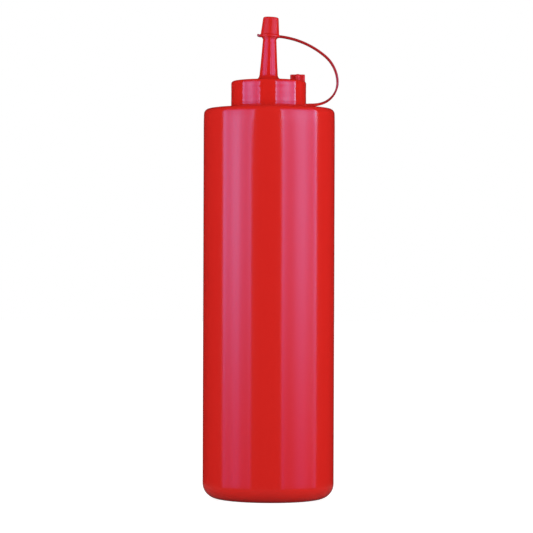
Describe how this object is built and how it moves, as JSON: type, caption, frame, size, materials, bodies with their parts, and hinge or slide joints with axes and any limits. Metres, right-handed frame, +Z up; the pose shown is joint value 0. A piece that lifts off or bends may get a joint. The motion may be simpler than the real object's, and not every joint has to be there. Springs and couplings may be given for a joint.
{
  "type": "squeeze bottle",
  "caption": "Plain cylindrical red squeeze bottle with a screw closure, a tapered nozzle and a tip cap held to the neck by a looped strap",
  "frame": {"origin": "centre of the base, on the surface the bottle stands on", "axes": "+Z up along the bottle's axis, +X towards the side the strap loops out to, +Y to the back"},
  "size_m": [0.072, 0.07, 0.257],
  "materials": {
    "bottle_ldpe": "blow-moulded low-density polyethylene, red right through, soft gloss",
    "closure_ldpe": "injection-moulded low-density polyethylene, red right through, soft gloss",
    "tether_ldpe": "injection-moulded low-density polyethylene, red right through, soft gloss"
  },
  "bodies": {
    "root": {"bottle": "bottle_ldpe", "closure": "closure_ldpe", "tip_cap_tether": "tether_ldpe"}
  },
  "joints": []
}
